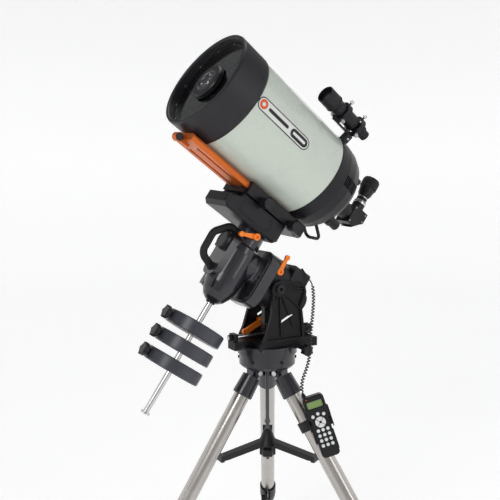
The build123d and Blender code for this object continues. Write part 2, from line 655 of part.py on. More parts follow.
JAW = [(51.2, CLAMP_SCREW_D + 7), (51.2, -198.4), (43.6, -203.0), (46.5, -207.5), (62.0, -207.5),
       (65.0, -204.0), (65.0, CLAMP_SCREW_D + 7)]


def make_saddle():
    """Flat bed with the fixed jaw on its east side."""
    bed = block(-50.6, 60, SADDLE_TOP, SADDLE_LOW, -SADDLE_HALF, SADDLE_HALF)
    bed += extrude_along_z(JAW, -SADDLE_HALF, SADDLE_HALF)
    for z0 in (84, -120):
        bed -= block(-40, 40, SADDLE_TOP - 1, SADDLE_TOP + 4, z0, z0 + 36)
    for z in CLAMP_SCREWS:
        bed -= rod_x(4.05, -52, -5, y=CLAMP_SCREW_D, z=z)
    return bed


def make_jaw():
    mirrored = [(-x, y) for x, y in JAW]
    jaw = extrude_along_z(mirrored, -SADDLE_HALF + 6, SADDLE_HALF - 6)
    for z in CLAMP_SCREWS:
        jaw -= rod_x(4.05, -70, -40, y=CLAMP_SCREW_D, z=z)
        jaw -= block(-70, -56, -210, -196, z - 20, z + 20)
    return jaw


def make_saddle_knob(z):
    stem = rod_x(4.0, -90, -10, y=CLAMP_SCREW_D, z=z)
    grip = Circle(17)
    for i in range(12):
        grip -= Rot(0, 0, 30 * i) * Pos(18.2, 0) * Circle(2.6)
    knob = Pos(-72, CLAMP_SCREW_D, z) * Rot(0, -90, 0) * extrude(grip, amount=30)
    return stem + knob + rod_x(10, -73, -65.4, y=CLAMP_SCREW_D, z=z)


keep("dec_head", make_head(), at=DEC)
keep("dec_shaft", make_dec_shaft(), at=DEC)
keep("saddle", make_saddle(), at=DEC)
keep("saddle_jaw", make_jaw(), at=DEC)
keep("saddle_knobs", *[make_saddle_knob(z) for z in CLAMP_SCREWS], at=DEC)

# ---------------------------------------------------------------- optical tube
TUBE = Plane(DEC.location * Pos(0, -TUBE_AXIS, 0))
PLATE_Z = (-100.0, 363.0)
MIRROR_R = 141.0
BAFFLE_R = 30.0
FINDER_ANGLE = 24.0
FINDER_AT = 218.0
EYE_Z = -325.0           # eyepiece axis, along the optical axis
NOSE_R = 25.9
FOCUS_X = -62.0
FOCUS_Y = 88.0


def make_dovetail():
    """Wide plate with bevels towards the tube, and a round lug past its front end."""
    top = 158.7
    half = [(36, top), (36, 161), (PLATE_HALF_W, 168), (PLATE_HALF_W, 182)]
    section = half + [(-x, y) for x, y in reversed(half)]
    plate = extrude_along_z(section, *PLATE_Z)
    for x in (-26, 26):
        plate -= block(x - 7, x + 7, 178, 184, PLATE_Z[0] + 30, PLATE_Z[1] - 40)
    lug = block(-9, 9, 168, 192, 340, 378) + rod_x(13, -11, 11, y=184, z=380)
    return plate + lug - rod_x(5, -12, 12, y=184, z=380)


def make_front_cell():
    outside = [(154.4, 290), (154.4, CELL_REAR), (157, CELL_REAR), (RING_R, 311), (RING_R, 403),
               (156.5, TUBE_FRONT)]
    inside = [(149, TUBE_FRONT), (146.5, 404), (146.5, 378), (139, 378), (139, 372), (149, 364), (149, 290)]
    return ring_profile(outside + inside)


def make_corrector():
    return rod(146.3, 378, 383) - rod(46, 377, 384)


def make_secondary():
    """Holder through the corrector's hole, with the secondary mirror on its back."""
    return ring_profile([(0, 340), (43, 340), (43, 352), (50, 356), (50, 377.8), (45.8, 377.8), (45.8, 383.2),
                         (56, 383.2), (56, 396), (52, 400), (38, 400), (36, 394), (0, 394)])


def make_rear_cell():
    """Deep rear casting, its focuser boss, vent openings and carry loop."""
    outside = [(154.4, -40), (154.4, TUBE_REAR), (157.5, TUBE_REAR), (157.5, -98), (153, -132), (141, -164),
               (121, -186), (100, BACK_FACE), (BAFFLE_R, BACK_FACE)]
    inside = [(BAFFLE_R, -186), (96, -186), (115, -178), (134, -158), (146, -130), (150, -98), (150, -40)]
    body = ring_profile(outside + inside)
    body += pipe(42, BAFFLE_R, BACK_FACE - 8, BACK_FACE)
    body += rod(19, BACK_FACE - 5, -184, x=FOCUS_X, y=FOCUS_Y)
    body -= rod(6.05, -210, -160, x=FOCUS_X, y=FOCUS_Y)
    return body


def make_rear_loop():
    """Carry loop bolted under the back of the rear casting."""
    corners = [(-34, 122, -182), (-34, 150, -222), (34, 150, -222), (34, 122, -182)]
    path = FilletPolyline(*corners, radius=[18, 18])
    grip = sweep(Plane(origin=(-34, 122, -182), z_dir=(0, 28, -40)) * Circle(5.5), path=path)
    return grip


def make_primary():
    """Concave mirror with a conical back, sliding on the baffle tube."""
    blank = ring_profile([(BAFFLE_R + RUN_GAP, -92), (60, -92), (MIRROR_R, -72), (MIRROR_R, -52),
                          (BAFFLE_R + RUN_GAP, -52)])
    radius = 1400.0
    return blank - Pos(0, 0, radius - 61.0) * Sphere(radius)


def make_baffle():
    return pipe(BAFFLE_R, BAFFLE_R - 2.5, BACK_FACE - 8, 150)


def make_focus_knob():
    stem = rod(6.0, -206, -150, x=FOCUS_X, y=FOCUS_Y)
    grip = Circle(16)
    for i in range(18):
        grip -= Rot(0, 0, 20 * i) * Pos(16.6, 0) * Circle(1.3)
    return stem + Pos(FOCUS_X, FOCUS_Y, -232) * extrude(grip, amount=28)


def make_visual_back():
    """Threaded ring behind the rear casting that grips the diagonal's nose."""
    return pipe(40, NOSE_R + 0.1, -228, BACK_FACE - 8)


def make_diagonal():
    """Two-inch nose, a prism box with a flat back, and the tube that takes the eyepiece."""
    nose = rod(NOSE_R, -262, -214)
    side = [(-32, -292), (-32, -358), (4, -358), (36, -322), (36, -292)]
    profile = make_face(Polyline(*[(0, y, z) for y, z in side], close=True))
    body = Pos(-31, 0, 0) * extrude(profile, amount=62, dir=(1, 0, 0))
    body += rod(29, -293, -255)
    body += rod_y(22, -62, -30, z=EYE_Z)
    body -= rod(20, -293, -210)
    return nose + body - rod_y(15.95, -64, -24, z=EYE_Z) - rod(20, -293, -210)


def make_eyepiece():
    """Barrel in the diagonal, a tapered body and a soft cup."""
    turned = ring_profile([(12, 0), (15.9, 0), (15.9, 30), (18.5, 30.2), (18.5, 52), (24, 62), (27.5, 84),
                           (29.5, 96), (29.5, 118), (26, 122), (20, 122), (12, 110)])
    return Pos(0, -32, EYE_Z) * Rot(90, 0, 0) * turned


def finder_place():
    return Rot(0, 0, 180 - FINDER_ANGLE) * Pos(0, FINDER_AT, 0)


def make_finder():
    """Straight tube with a large cell in front and a stepped eye end, along Z."""
    return ring_profile([(0, -132), (12, -132), (15, -128), (15, -112), (20, -110), (20, -66), (24.5, -60),
                         (24.5, 26), (28.5, 34), (28.5, 84), (26.5, 86), (26.5, 70), (0, 70)])


def make_finder_bracket():
    """Two rings joined by a stem that runs down to the rear casting."""
    ring = pipe(33, 27.5, -16, 2) + pipe(33, 27.5, -88, -70)
    for z in (-7, -79):
        for turn in (90, 210, 330):
            screw = Rot(0, 0, turn) * Pos(0, 0, z) * Rot(0, 90, 0) * rod(3.2, 24.6, 44)
            ring += screw
    ring += block(-12, 12, -36, -30, -86, 0)
    ring += block(-13, 13, -60.4, -32, -92, -70)
    return ring


keep("dovetail", make_dovetail(), at=TUBE)
keep("ota_tube", pipe(TUBE_R, TUBE_R - 1.6, TUBE_REAR, CELL_REAR), at=TUBE)
keep("front_cell", make_front_cell(), at=TUBE)
keep("corrector", make_corrector(), at=TUBE)
keep("secondary", make_secondary(), at=TUBE)
keep("rear_cell", make_rear_cell() + (make_rear_loop() - make_rear_cell()), at=TUBE)
keep("primary_mirror", make_primary(), at=TUBE)
keep("baffle_tube", make_baffle(), at=TUBE)
keep("focus_knob", make_focus_knob(), at=TUBE)
keep("visual_back", make_visual_back(), at=TUBE)
keep("diagonal", make_diagonal(), at=TUBE)
keep("eyepiece", make_eyepiece(), at=TUBE)
keep("finder", finder_place() * make_finder(), at=TUBE)
keep("finder_bracket", finder_place() * make_finder_bracket(), at=TUBE)

# ---------------------------------------------------------------- hand controller's cord
case_top = CASE.from_local_coords(Vector(SOCKET_X, CASE_L / 2 + 38, 0))
socket_end = CASE.from_local_coords(Vector(SOCKET_X, CASE_L / 2 + 8, 0))
LEAD_ROUTE = [lead_root + lead_out * RELIEF_END, lead_root + lead_out * 24, coil_top]
UPPER_ROUTE = [coil_top] + [Vector(x, AXIS_Y + y, HUB_Z + z) for x, y, z in (
    (-98, -113, 226), (-104, -107, 184), (-113, -96, 142), (-125, -82, 100))]
hang = (UPPER_ROUTE[-1] - UPPER_ROUTE[-2]).normalized()
LOWER_ROUTE = [UPPER_ROUTE[-1] + hang * CORD_GAP, UPPER_ROUTE[-1] + hang * 42,
               Vector(-151, AXIS_Y - 53, HUB_Z + 22), case_top, socket_end]


def corner_radii(points):
    """Each corner's arc takes 0.45 of the shorter of its two runs."""
    radii = []
    for before, here, after in zip(points, points[1:], points[2:]):
        first, second = here - before, after - here
        turn = radians(first.get_angle(second))
        radii.append(0.45 * min(first.length, second.length) / tan(turn / 2))
    return radii


def cord_tube(points, r):
    path = FilletPolyline(*points, radius=corner_radii(points))
    start = Plane(origin=points[0], z_dir=points[1] - points[0])
    return sweep(start * Circle(r), path=path)


keep("cord_upper", cord_tube(LEAD_ROUTE, CORD_R), cord_tube(UPPER_ROUTE, COIL_R))
keep("cord_lower", cord_tube(LOWER_ROUTE, COIL_R))

# ---------------------------------------------------------------- files
os.makedirs("parts", exist_ok=True)
for name, shape in parts.items():
    export_step(shape, "parts/" + name + ".step")
print(len(parts), "nodes")
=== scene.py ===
import json
from math import cos, pi, radians, sin, sqrt

import bmesh
import bpy
from mathutils import Matrix, Vector


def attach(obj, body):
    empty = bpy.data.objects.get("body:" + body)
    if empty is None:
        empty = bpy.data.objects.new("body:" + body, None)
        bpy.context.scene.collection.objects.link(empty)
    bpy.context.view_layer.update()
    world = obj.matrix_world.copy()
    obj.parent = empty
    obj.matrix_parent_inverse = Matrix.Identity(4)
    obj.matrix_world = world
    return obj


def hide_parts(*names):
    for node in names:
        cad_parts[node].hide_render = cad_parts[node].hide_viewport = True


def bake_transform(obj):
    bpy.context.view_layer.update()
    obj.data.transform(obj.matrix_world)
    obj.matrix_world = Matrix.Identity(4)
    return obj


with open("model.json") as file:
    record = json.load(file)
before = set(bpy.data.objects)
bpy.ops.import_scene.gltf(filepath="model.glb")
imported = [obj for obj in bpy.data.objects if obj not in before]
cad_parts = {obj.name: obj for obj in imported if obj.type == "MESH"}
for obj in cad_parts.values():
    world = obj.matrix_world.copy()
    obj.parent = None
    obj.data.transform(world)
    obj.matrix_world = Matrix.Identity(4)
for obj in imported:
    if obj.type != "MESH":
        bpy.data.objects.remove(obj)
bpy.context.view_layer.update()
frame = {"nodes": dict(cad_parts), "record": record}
MM = 0.001

# ---------------------------------------------------------------- places, all from the record's joints
joints = {joint["name"]: joint for joint in frame["record"]["behaviour"]["joints"]}


def axis_of(name):
    return Vector(joints[name]["axis"]).normalized()


def point_of(name):
    return Vector(joints[name]["pos_m"])


def basis(x, y, z, origin):
    """Matrix from a local frame in millimetres to the row frame in metres."""
    turn = Matrix((x, y, z)).transposed().to_4x4()
    return Matrix.Translation(origin) @ turn @ Matrix.Scale(MM, 4)


polar, dec, optical = axis_of("ra_turn"), axis_of("dec_turn"), axis_of("dovetail_slide")
across = -axis_of("saddle_jaw_open")
crossing = point_of("ra_turn")
HUB_HEIGHT = 44  # mm from the hub's underside to the face the azimuth base turns on
hub_at = point_of("azimuth_turn") - Vector((0, 0, HUB_HEIGHT * MM))
case_up = Vector((0.242, 0.225, 0.944)).normalized()
case_out = -axis_of("round_keys_press")

HUB = basis((1, 0, 0), (0, 1, 0), (0, 0, 1), hub_at)
POLAR = basis((1, 0, 0), dec, polar, crossing)
DEC = basis(across, dec, optical, crossing)
TUBE = basis(across, dec, optical, point_of("diagonal_turn") + optical * 300 * MM)
CASE = basis(case_up.cross(case_out), case_up, case_out, HUB @ Vector((-203, -72, -150)))
FINDER = TUBE @ Matrix.Rotation(radians(156), 4, "Z") @ Matrix.Translation((0, 218, 0))
EYE = TUBE @ Matrix.Translation((0, -32, -325)) @ Matrix.Rotation(radians(90), 4, "X")


def shift(x, y, z, turn=0.0, about="Z"):
    """A place moved by x, y and z, then turned by degrees about one of its own axes."""
    return Matrix.Translation((x, y, z)) @ Matrix.Rotation(radians(turn), 4, about)


def add(name, data):
    """A new object in the scene, holding a mesh, a curve, a lamp or a camera."""
    obj = bpy.data.objects.new(name, data)
    bpy.context.collection.objects.link(obj)
    return obj


def meshed(obj):
    """A mesh made from a curve object, which is then deleted."""
    mesh = bpy.data.meshes.new_from_object(obj.evaluated_get(bpy.context.evaluated_depsgraph_get()))
    bpy.data.objects.remove(obj)
    return mesh


# ---------------------------------------------------------------- camera
FOCAL_MM = 47.6
CAMERA_AT = (-1803.5, 1041.3, 574.7)  # mm from the hub's underside
LOOK = Vector((0.8741, -0.4758, -0.0979))
RIGHT = Vector((-0.4787, -0.8779, -0.0078))
UP = Vector((0.0823, -0.0537, 0.9952))
camera = add("camera", bpy.data.cameras.new("camera"))
camera.data.lens = FOCAL_MM
camera.matrix_world = Matrix.Translation(HUB @ Vector(CAMERA_AT)) @ Matrix((RIGHT, UP, -LOOK)).transposed().to_4x4()
bpy.context.scene.camera = camera

# ---------------------------------------------------------------- hand controller's cord
WIRE_R = 2.0
COIL_R = 4.0
COIL_PITCH = 9.6
COIL_START = 0.036  # metres from the socket, where the straight lead ends
COIL_STOP = 0.006  # metres short of the controller
COIL_RAMP = 0.010  # metres over which the coil reaches its full radius
STEPS = 1000
LEAD = [(-72, -99.8, 290), (-81.5, -104.3, 279.5), (-92, -112, 266)]
UPPER = [(-98, -113, 226), (-104, -107, 184), (-113, -96, 142), (-125, -82, 100)]
LOWER = [(-142, -71, 61.6), (-152, -55, 22)]


def nurbs(name, points, bevel=0.0):
    """Open curve through a route given as control points, in metres."""
    curve = bpy.data.curves.new(name, "CURVE")
    curve.dimensions = "3D"
    spline = curve.splines.new("NURBS")
    spline.points.add(len(points) - 1)
    for point, at in zip(spline.points, points):
        point.co = (*at, 1)
    spline.order_u = 3
    spline.use_endpoint_u = True
    spline.resolution_u = 12
    curve.bevel_depth = bevel
    curve.bevel_resolution = 3
    curve.use_fill_caps = True
    return add(name, curve)


def route_line(points):
    """Points along a route's own smooth line."""
    mesh = meshed(nurbs("route", points))
    line = [v.co.copy() for v in mesh.vertices]
    bpy.data.meshes.remove(mesh)
    return line


def length_of(points):
    return sum((b - a).length for a, b in zip(points, points[1:]))


def even_steps(line, count):
    """The same line in equal steps: (point, direction, distance along it)."""
    along = [0.0]
    for before, after in zip(line, line[1:]):
        along.append(along[-1] + (after - before).length)
    steps, k = [], 0
    for i in range(count + 1):
        s = along[-1] * i / count
        while k < len(line) - 2 and along[k + 1] < s:
            k += 1
        run = line[k + 1] - line[k]
        steps.append((line[k] + run * ((s - along[k]) / run.length), run.normalized(), s))
    return steps


def curl(steps, first, last):
    """Helix round a line, in metres, its radius growing after `first` and shrinking before `last`."""
    side = steps[0][1].orthogonal().normalized()
    points = []
    for at, ahead, s in steps:
        side = (side - ahead * side.dot(ahead)).normalized()
        grow = max(0.0, min(1.0, (s - first) / COIL_RAMP, (last - s) / COIL_RAMP))
        turn = 2 * pi * max(0.0, s - first) / (COIL_PITCH * MM)
        swing = side * cos(turn) + ahead.cross(side) * sin(turn)
        points.append(at + swing * (COIL_R * MM * grow * grow * (3 - 2 * grow)))
    return points


upper_route = [HUB @ Vector(p) for p in LEAD + UPPER]
socket_end = CASE @ Vector((-24, 103, 0))
lower_route = [upper_route[-1]] + [HUB @ Vector(p) for p in LOWER] + [CASE @ Vector((-24, 133, 0)), socket_end]
upper_line, lower_line = route_line(upper_route), route_line(lower_route)
whole = even_steps(upper_line + lower_line[1:], STEPS)
upper_length = length_of(upper_line)
join = min(range(len(whole)), key=lambda i: abs(whole[i][2] - upper_length))
helix = curl(whole, COIL_START, whole[-1][2] - COIL_STOP)


# ---------------------------------------------------------------- materials
def nodes_of(mat):
    mat.use_nodes = True
    tree = mat.node_tree
    return tree, tree.nodes["Principled BSDF"]


def surface(name, colour, rough, metal=0.0, coat=0.0, mottle=0.10, grain=900.0, bump=0.00005, edge=0.0,
            bevel=0.0008, smudge=0.06, stretch=(1, 1, 1), specular=0.35):
    """Principled finish with mottled colour, uneven gloss, fine grain, softened and worn edges."""
    mat = bpy.data.materials.new(name)
    tree, shader = nodes_of(mat)
    new, join_to = tree.nodes.new, tree.links.new
    where = new("ShaderNodeTexCoord")
    mapped = new("ShaderNodeMapping")
    mapped.inputs["Scale"].default_value = stretch
    join_to(where.outputs["Object"], mapped.inputs["Vector"])
    broad = new("ShaderNodeTexNoise")
    broad.inputs["Scale"].default_value = 14.0
    broad.inputs["Detail"].default_value = 5.0
    join_to(mapped.outputs["Vector"], broad.inputs["Vector"])
    fine = new("ShaderNodeTexNoise")
    fine.inputs["Scale"].default_value = grain
    fine.inputs["Detail"].default_value = 2.0
    join_to(mapped.outputs["Vector"], fine.inputs["Vector"])
    ramp = new("ShaderNodeValToRGB")
    ramp.color_ramp.elements[0].position = 0.3
    ramp.color_ramp.elements[1].position = 0.7
    ramp.color_ramp.elements[0].color = (*[c * (1 - mottle) for c in colour], 1)
    ramp.color_ramp.elements[1].color = (*[min(1.0, c * (1 + mottle)) for c in colour], 1)
    join_to(broad.outputs["Fac"], ramp.inputs["Fac"])
    soft = new("ShaderNodeBevel")
    soft.samples = 4
    soft.inputs["Radius"].default_value = bevel
    colour_out = ramp.outputs["Color"]
    if edge:
        geometry = new("ShaderNodeNewGeometry")
        likeness = new("ShaderNodeVectorMath")
        likeness.operation = "DOT_PRODUCT"
        join_to(soft.outputs["Normal"], likeness.inputs[0])
        join_to(geometry.outputs["Normal"], likeness.inputs[1])
        worn = new("ShaderNodeMapRange")
        worn.inputs["From Min"].default_value = 0.995
        worn.inputs["From Max"].default_value = 0.80
        worn.inputs["To Max"].default_value = edge
        join_to(likeness.outputs["Value"], worn.inputs["Value"])
        patchy = new("ShaderNodeMath")
        patchy.operation = "MULTIPLY"
        join_to(worn.outputs["Result"], patchy.inputs[0])
        join_to(broad.outputs["Fac"], patchy.inputs[1])
        mix = new("ShaderNodeMix")
        mix.data_type = "RGBA"
        mix_a, mix_b = [i for i in mix.inputs if i.name in ("A", "B") and i.type == "RGBA"]
        mix_b.default_value = (*[min(1.0, c * 1.7 + 0.10) for c in colour], 1)
        join_to(patchy.outputs["Value"], mix.inputs["Factor"])
        join_to(colour_out, mix_a)
        colour_out = [o for o in mix.outputs if o.type == "RGBA"][0]
    join_to(colour_out, shader.inputs["Base Color"])
    gloss = new("ShaderNodeMapRange")
    gloss.inputs["To Min"].default_value = max(0.02, rough - smudge)
    gloss.inputs["To Max"].default_value = rough + smudge
    join_to(broad.outputs["Fac"], gloss.inputs["Value"])
    join_to(gloss.outputs["Result"], shader.inputs["Roughness"])
    relief = new("ShaderNodeBump")
    relief.inputs["Strength"].default_value = 0.6
    relief.inputs["Distance"].default_value = bump
    join_to(fine.outputs["Fac"], relief.inputs["Height"])
    join_to(soft.outputs["Normal"], relief.inputs["Normal"])
    join_to(relief.outputs["Normal"], shader.inputs["Normal"])
    shader.inputs["Metallic"].default_value = metal
    shader.inputs["Specular IOR Level"].default_value = specular
    if coat:
        shader.inputs["Coat Weight"].default_value = coat
        shader.inputs["Coat Roughness"].default_value = 0.08
    return mat


def glass(name, colour):
    """Clear coated glass with faint dust."""
    mat = bpy.data.materials.new(name)
    tree, shader = nodes_of(mat)
    dust = tree.nodes.new("ShaderNodeTexNoise")
    dust.inputs["Scale"].default_value = 60.0
    spread = tree.nodes.new("ShaderNodeMapRange")
    spread.inputs["To Max"].default_value = 0.05
    where = tree.nodes.new("ShaderNodeTexCoord")
    tree.links.new(where.outputs["Object"], dust.inputs["Vector"])
    tree.links.new(dust.outputs["Fac"], spread.inputs["Value"])
    tree.links.new(spread.outputs["Result"], shader.inputs["Roughness"])
    shader.inputs["Base Color"].default_value = (*colour, 1)
    shader.inputs["Transmission Weight"].default_value = 1.0
    shader.inputs["IOR"].default_value = 1.5
    return mat


BLACK = surface("black satin paint", (0.009, 0.008, 0.011), 0.32, edge=0.14, grain=1500, bump=0.00004,
                smudge=0.03, specular=0.30)
CASTING = surface("black textured casting", (0.009, 0.0085, 0.011), 0.36, edge=0.16, grain=1100, bump=0.00008,
                  smudge=0.03, specular=0.30)
RING_BLACK = surface("front ring satin", (0.017, 0.015, 0.018), 0.42, edge=0.06, grain=2200, bump=0.00002)
SAGE = surface("sage gloss paint", (0.60, 0.66, 0.585), 0.28, coat=0.6, mottle=0.008, grain=400, bump=0.00001)
# flat black paint of the real linings, also used as the painted shade inside the rear vents
BLACK_LINING_AND_PAINTED_SHADE = surface("flat black lining and painted shade", (0.006, 0.006, 0.007), 0.9, grain=600, bump=0.0002, specular=0.1)
BRONZE_ORANGE = surface("orange anodised plate", (0.62, 0.135, 0.012), 0.38, metal=0.35, mottle=0.10, edge=0.4,
                        grain=2600)
ORANGE = surface("orange anodised", (0.90, 0.215, 0.018), 0.36, metal=0.25, mottle=0.08, edge=0.5, grain=2600)
STEEL = surface("brushed stainless", (0.48, 0.455, 0.43), 0.26, metal=1.0, mottle=0.06, grain=700, bump=0.00003)
CHROME = surface("chromed bar", (0.66, 0.65, 0.64), 0.14, metal=1.0, mottle=0.03, grain=300, bump=0.00001, smudge=0.03)
PLATED = surface("plated fastener", (0.60, 0.60, 0.62), 0.28, metal=1.0, mottle=0.08, grain=1200)
# dark weight enamel; its base colour is raised and tinted blue as a painted highlight on the weights' faces
WEIGHT_WITH_PAINTED_SHEEN = surface("weight enamel with painted sheen", (0.046, 0.048, 0.060), 0.33, mottle=0.08, edge=0.15, grain=700, bump=0.00012,
                 specular=0.5)
# black enamel; its base colour is made lighter and bluer as a painted blue sheen
ENAMEL_WITH_PAINTED_SHEEN = surface("black enamel with painted blue sheen", (0.017, 0.0165, 0.023), 0.25, coat=0.25, mottle=0.015, edge=0.12, grain=900,
                 bump=0.00004, smudge=0.02, specular=0.5)
PLATE = surface("deep black casting", (0.006, 0.0055, 0.007), 0.46, edge=0.10, grain=1100, bump=0.0001,
                specular=0.22)
RUBBER = surface("black rubber", (0.009, 0.009, 0.010), 0.55, grain=1800, bump=0.0001, specular=0.35)
PLASTIC = surface("moulded black plastic", (0.009, 0.009, 0.011), 0.40, edge=0.06, grain=2400, bump=0.00006)
GLOSS = surface("gloss black plastic", (0.012, 0.012, 0.014), 0.22, grain=900, bump=0.00001)
KEY = surface("white key", (0.80, 0.81, 0.80), 0.38, mottle=0.04, grain=1500)
ANODISED = surface("black anodised", (0.016, 0.016, 0.018), 0.32, metal=0.3, edge=0.12, grain=2600, bump=0.00002)
GUNMETAL = surface("blued steel", (0.10, 0.10, 0.11), 0.30, metal=1.0, mottle=0.12, grain=900)
SHADED = surface("dark satin metal", (0.16, 0.16, 0.17), 0.22, metal=1.0, mottle=0.05, grain=1800)
SILVER = surface("satin silver ring", (0.66, 0.66, 0.68), 0.24, metal=1.0, mottle=0.05, grain=1800)
BRASS = surface("machined brass", (0.72, 0.52, 0.22), 0.30, metal=1.0, mottle=0.08, grain=900)
WIRE = surface("cord jacket", (0.016, 0.016, 0.017), 0.48, grain=2000, bump=0.00003)
BADGE_PALE = surface("badge field", (0.74, 0.76, 0.73), 0.30, coat=0.4, mottle=0.02, grain=800)
BADGE_RED = surface("badge spot", (0.75, 0.10, 0.02), 0.32, mottle=0.05, grain=1500)
LCD = surface("display glass", (0.22, 0.33, 0.10), 0.16, coat=0.8, mottle=0.06, grain=2600, bump=0.00001)
VIAL = surface("level fluid", (0.42, 0.62, 0.10), 0.08, coat=0.8, mottle=0.04, bump=0.000005)
MIRROR = surface("aluminised mirror", (0.88, 0.89, 0.91), 0.03, metal=1.0, mottle=0.01, bump=0.000001, smudge=0.01)
CORRECTOR = glass("corrector glass", (0.93, 0.98, 0.96))
LENS = glass("coated lens", (0.55, 0.60, 0.75))

finishes = {
    BLACK: "saddle saddle_jaw finder_bracket altitude_nut altitude_pivots",
    CASTING: "leg_clamps ra_housing dec_head rear_cell", PLATE: "azimuth_base side_plates",
    ENAMEL_WITH_PAINTED_SHEEN: "tripod_hub leg_collars ra_gearbox dec_housing",
    RING_BLACK: "front_cell", SAGE: "ota_tube",
    ORANGE: "altitude_lock_lever ra_clutch_lever dec_clutch_lever", BRONZE_ORANGE: "dovetail",
    STEEL: "upper_legs lower_leg_north lower_leg_west lower_leg_east",
    CHROME: "counterweight_shaft", WEIGHT_WITH_PAINTED_SHEEN: "counterweight_1 counterweight_2 counterweight_3",
    RUBBER: "dec_handle cord_upper cord_lower",
    PLASTIC: "spreader tension_knob controller_cradle hand_controller saddle_knobs weight_knob_1 weight_knob_2"
             " weight_knob_3 focus_knob azimuth_screws",
    KEY: "round_keys arrow_keys", ANODISED: "baffle_tube visual_back diagonal eyepiece finder secondary",
    GUNMETAL: "centre_rod", PLATED: "leg_hinge_bolts altitude_screw ra_bearings ra_shaft dec_shaft ra_worm",
    BRASS: "ra_worm_wheel", CORRECTOR: "corrector", MIRROR: "primary_mirror"}

SHARP_ANGLE = radians(32)


def smooth(mesh):
    """Smooth shading, with edges steeper than SHARP_ANGLE kept sharp."""
    mesh.polygons.foreach_set("use_smooth", [True] * len(mesh.polygons))
    mesh.set_sharp_from_angle(angle=SHARP_ANGLE)


for mat, names in finishes.items():
    for name in names.split():
        mesh = frame["nodes"][name].data
        mesh.materials.clear()
        mesh.materials.append(mat)
        smooth(mesh)

BOOT_START = 900  # mm along a leg from the middle of the hub's underside, where its rubber boot begins


def repaint(node, mat, where, test):
    """Gives another finish to the faces of a CAD node that pass test(centre, normal) in a local frame in mm."""
    mesh = frame["nodes"][node].data
    mesh.materials.append(mat)
    index = len(mesh.materials) - 1
    back = where.inverted()
    turn = back.to_3x3().normalized()
    for face in mesh.polygons:
        if test(back @ face.center, turn @ face.normal):
            face.material_index = index


def inward(c, n):
    """Says whether a face looks towards the tube's axis."""
    return c.x * n.x + c.y * n.y < 0


# linings, the altitude screw's knobs, the azimuth base's lower ring and the rubber boots
repaint("ota_tube", BLACK_LINING_AND_PAINTED_SHADE, TUBE, inward)
repaint("altitude_screw", PLASTIC, HUB, lambda c, n: Vector((c.x, c.z - 102)).length > 6.5)
# the azimuth base's lower ring takes the enamel with the painted blue sheen, a painted highlight on the ring
repaint("azimuth_base", ENAMEL_WITH_PAINTED_SHEEN, HUB, lambda c, n: c.z < 71 and Vector((c.x, c.y)).length > 95)
repaint("front_cell", BLACK_LINING_AND_PAINTED_SHADE, TUBE, lambda c, n: inward(c, n) and c.z < 377)
repaint("baffle_tube", BLACK_LINING_AND_PAINTED_SHADE, TUBE, inward)
for side in ("north", "west", "east"):
    down = axis_of("leg_%s_extend" % side)
    repaint("lower_leg_" + side, RUBBER, HUB, lambda c, n: c.dot(down) > BOOT_START)


# ---------------------------------------------------------------- building pieces
def piece(name, bm, where, body, mat, also=()):
    """A mesh made in millimetres in a local frame, put in the row frame and riding on a CAD body."""
    bm.transform(where)
    bmesh.ops.recalc_face_normals(bm, faces=bm.faces)
    mesh = bpy.data.meshes.new(name)
    bm.to_mesh(mesh)
    bm.free()
    for each in (mat, *also):
        mesh.materials.append(each)
    smooth(mesh)
    obj = add(name, mesh)
    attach(obj, body)


def turned(rings, sides=48, at=None, bm=None, ring_on=False, index=0):
    """Rings of (height, radius) along Z; a radius may be a function of the angle."""
    bm = bm or bmesh.new()
    at = at or Matrix()
    loops = []
    for z, r in rings:
        angles = [2 * pi * i / sides for i in range(sides)]
        radii = [r(a) if callable(r) else r for a in angles]
        loops.append([bm.verts.new(at @ Vector((q * cos(a), q * sin(a), z))) for a, q in zip(angles, radii)])
    pairs = list(zip(loops, loops[1:])) + ([(loops[-1], loops[0])] if ring_on else [])
    faces = [bm.faces.new((low[i], low[(i + 1) % sides], high[(i + 1) % sides], high[i]))
             for low, high in pairs for i in range(sides)]
    if not ring_on:
        faces += [bm.faces.new(loops[0][::-1]), bm.faces.new(loops[-1])]
    for face in faces:
        face.material_index = index
    return bm


def slab(outline, z0, z1, chamfer=0.6, at=None, bm=None):
    """A flat outline raised from z0 to z1 with its top edge chamfered."""
    bm = bm or bmesh.new()
    at = at or Matrix()
    middle = sum((Vector(p) for p in outline), Vector((0, 0))) / len(outline)
    inset = []
    for p in outline:
        out = Vector(p) - middle
        inset.append(middle + out * max(0.0, 1 - chamfer / max(out.length, 1e-6)))
    rings = [(outline, z0), (outline, z1 - chamfer), (inset, z1)]
    loops = [[bm.verts.new(at @ Vector((q[0], q[1], z))) for q in ring] for ring, z in rings]
    n = len(outline)
    for a, b in zip(loops, loops[1:]):
        for i in range(n):
            bm.faces.new((a[i], a[(i + 1) % n], b[(i + 1) % n], b[i]))
    bm.faces.new(loops[0][::-1])
    bm.faces.new(loops[-1])
    return bm


def rounded(width, height, r, cx=0.0, cy=0.0, steps=5):
    """Rounded rectangle outline."""
    points = []
    for k, (sx, sy) in enumerate(((1, 1), (-1, 1), (-1, -1), (1, -1))):
        for i in range(steps + 1):
            a = radians(90 * k + 90 * i / steps)
            points.append((cx + sx * (width / 2 - r) + r * cos(a), cy + sy * (height / 2 - r) + r * sin(a)))
    return points


def hexagon(across_flats):
    """Radius of a hexagon at an angle, for turned()."""
    return lambda a: across_flats / 2 / cos((a + pi / 6) % (pi / 3) - pi / 6)


def lobes(r, depth, count):
    """Radius of a fluted grip at an angle, for turned()."""
    return lambda a: r - depth * (0.5 - 0.5 * cos(count * a)) ** 2


